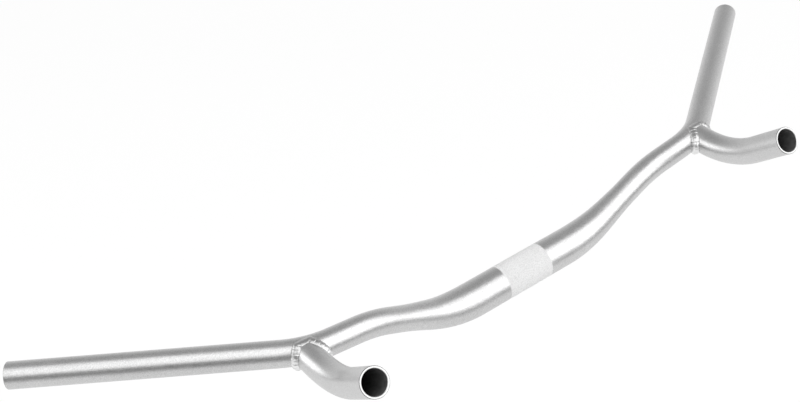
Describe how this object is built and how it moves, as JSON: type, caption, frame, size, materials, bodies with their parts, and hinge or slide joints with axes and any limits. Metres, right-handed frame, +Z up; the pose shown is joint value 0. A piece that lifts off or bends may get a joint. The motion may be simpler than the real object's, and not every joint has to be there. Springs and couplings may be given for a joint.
{
  "type": "cruiser handlebar",
  "caption": "Bent aluminium tube handlebar with a wide stem clamp area, swept-back grips and an upturned horn tube welded in front of each sweep bend.",
  "frame": {"origin": "middle of the straight stem clamp area, on the tube's axis", "axes": "+X along the clamp area to the rider's right, +Y backwards towards the rider, +Z up; the horns point forwards, towards -Y"},
  "size_m": [0.831, 0.2562, 0.111],
  "materials": {
    "bar_tube": "satin, bead-blasted and clear anodised, with a knurled patch beside the middle of the clamp area",
    "horn_tube": "matte bead-blasted, with a bright machined mouth",
    "weld_bead": "bright rippled weld bead"
  },
  "bodies": {
    "root": {"bar_tube": "bar_tube", "left_horn": "horn_tube", "right_horn": "horn_tube", "left_weld_bead": "weld_bead", "right_weld_bead": "weld_bead"}
  },
  "joints": []
}
